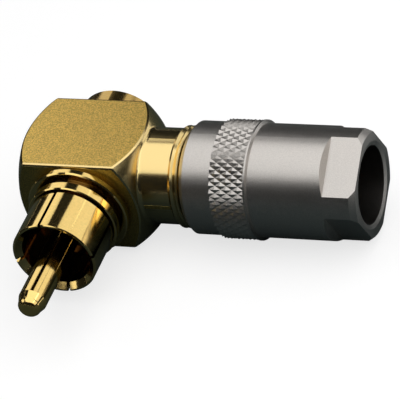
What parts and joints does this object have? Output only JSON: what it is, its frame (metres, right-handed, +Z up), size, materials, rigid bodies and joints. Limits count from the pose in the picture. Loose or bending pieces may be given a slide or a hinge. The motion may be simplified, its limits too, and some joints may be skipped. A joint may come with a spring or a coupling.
{
  "type": "right-angle rca plug",
  "caption": "Right-angle coaxial audio plug: square elbow with slotted contact shell, split centre pin, back screw cap and knurled screw-on cable sleeve.",
  "frame": {"origin": "on the plug axis, in the plane of the contact shell's rim", "axes": "+X along the cable sleeve towards the cable, -Y along the centre pin towards its tip, +Z up"},
  "size_m": [0.0408, 0.0319, 0.0134],
  "materials": {
    "satin_gold": "satin gold plate on a fine blasted surface",
    "polished_gold": "polished gold plate",
    "satin_nickel": "satin nickel plate",
    "bare_brass": "turned, not plated",
    "insulator": "matte black",
    "seal": "matte"
  },
  "bodies": {
    "elbow": {"elbow_body": "satin_gold", "plug_shell": "polished_gold", "flange_washer": "polished_gold", "front_insulator": "insulator", "rear_insulator": "insulator", "center_pin": "polished_gold", "cap_seal": "seal"},
    "clamp": {"cable_collet": "bare_brass", "thrust_ring": "bare_brass"},
    "sleeve": {"cable_sleeve": "satin_nickel"},
    "cap_insulation": {"cap_disc": "insulator"},
    "cap": {"access_cap": "polished_gold"}
  },
  "joints": [
    {"name": "clamp_slide", "type": "slide", "parent": "elbow", "child": "clamp", "axis": [1, 0, 0], "range_m": [0, 0.00455]},
    {"name": "sleeve_turn", "type": "hinge", "parent": "clamp", "child": "sleeve", "pos_m": [0.0122, 0.0146, 0], "axis": [1, 0, 0], "range_deg": [0, 2520]},
    {"name": "cap_slide", "type": "slide", "parent": "elbow", "child": "cap_insulation", "axis": [0, 1, 0], "range_m": [0, 0.0026]},
    {"name": "cap_turn", "type": "hinge", "parent": "cap_insulation", "child": "cap", "pos_m": [0, 0.0205, 0], "axis": [0, 1, 0], "range_deg": [0, 1440]}
  ],
  "couplings": [
    {"joint": "clamp_slide", "follows": "sleeve_turn", "m_per_rad": 0.00010345},
    {"joint": "cap_slide", "follows": "cap_turn", "m_per_rad": 0.00010345}
  ]
}
